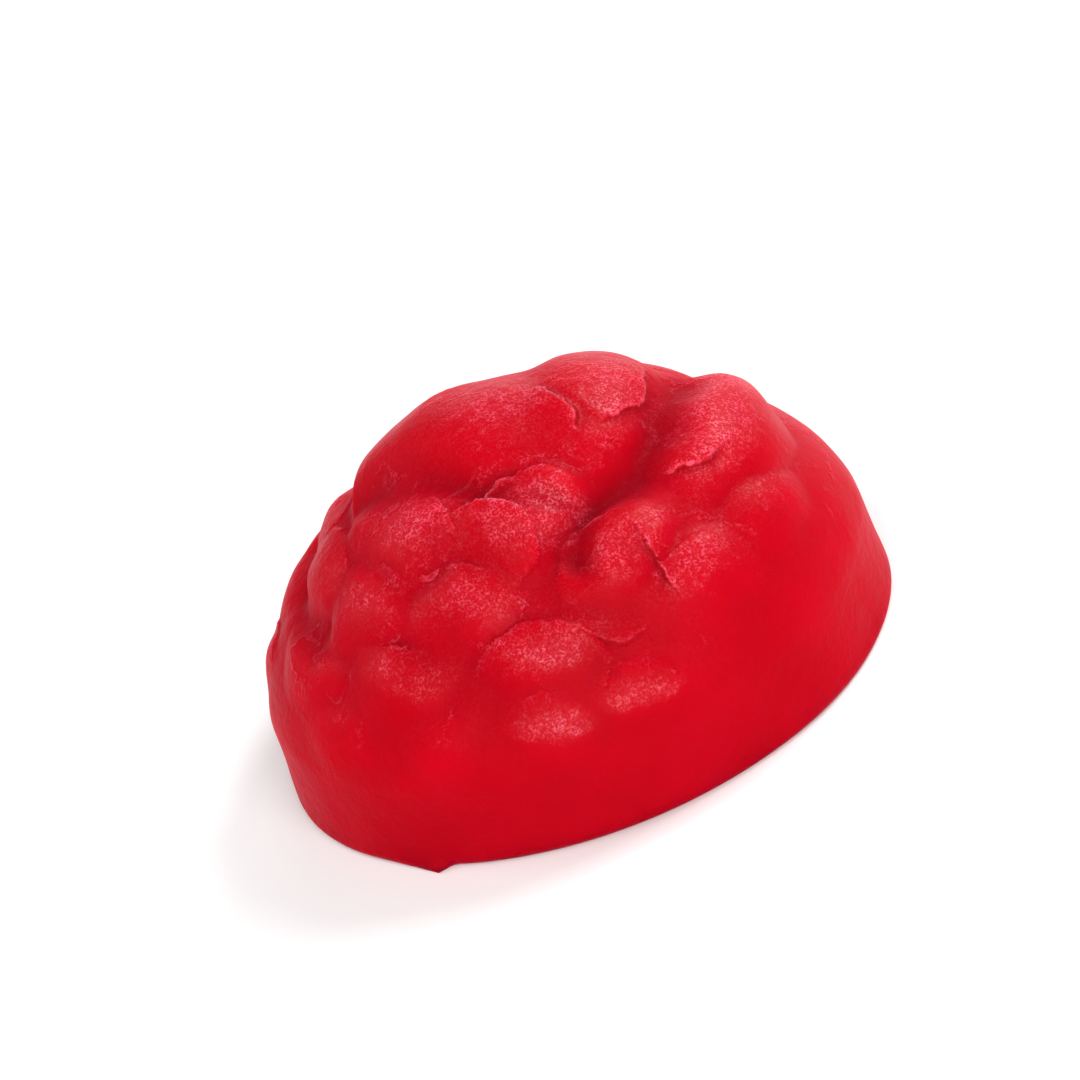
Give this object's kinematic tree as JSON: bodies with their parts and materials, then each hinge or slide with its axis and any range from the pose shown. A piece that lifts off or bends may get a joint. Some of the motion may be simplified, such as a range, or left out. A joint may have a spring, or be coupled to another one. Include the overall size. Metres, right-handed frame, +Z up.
{
  "type": "gummy candy",
  "caption": "Small solid fruit-jelly sweet shaped like a berry, with rounded drupelets and leaf lobes moulded over a low dome and a flat back to lie on.",
  "frame": {"origin": "middle of the flat back, under the middle of the whole sweet's box, on the surface it lies on", "axes": "+X from the berry's tip to its leaf end, +Y from its near flank to its far flank, +Z up out of the moulded relief"},
  "size_m": [0.024, 0.0206, 0.0129],
  "materials": {
    "red_jelly": "translucent red jelly with a dry, satin skin"
  },
  "bodies": {
    "root": {"gummy": "red_jelly"}
  },
  "joints": []
}
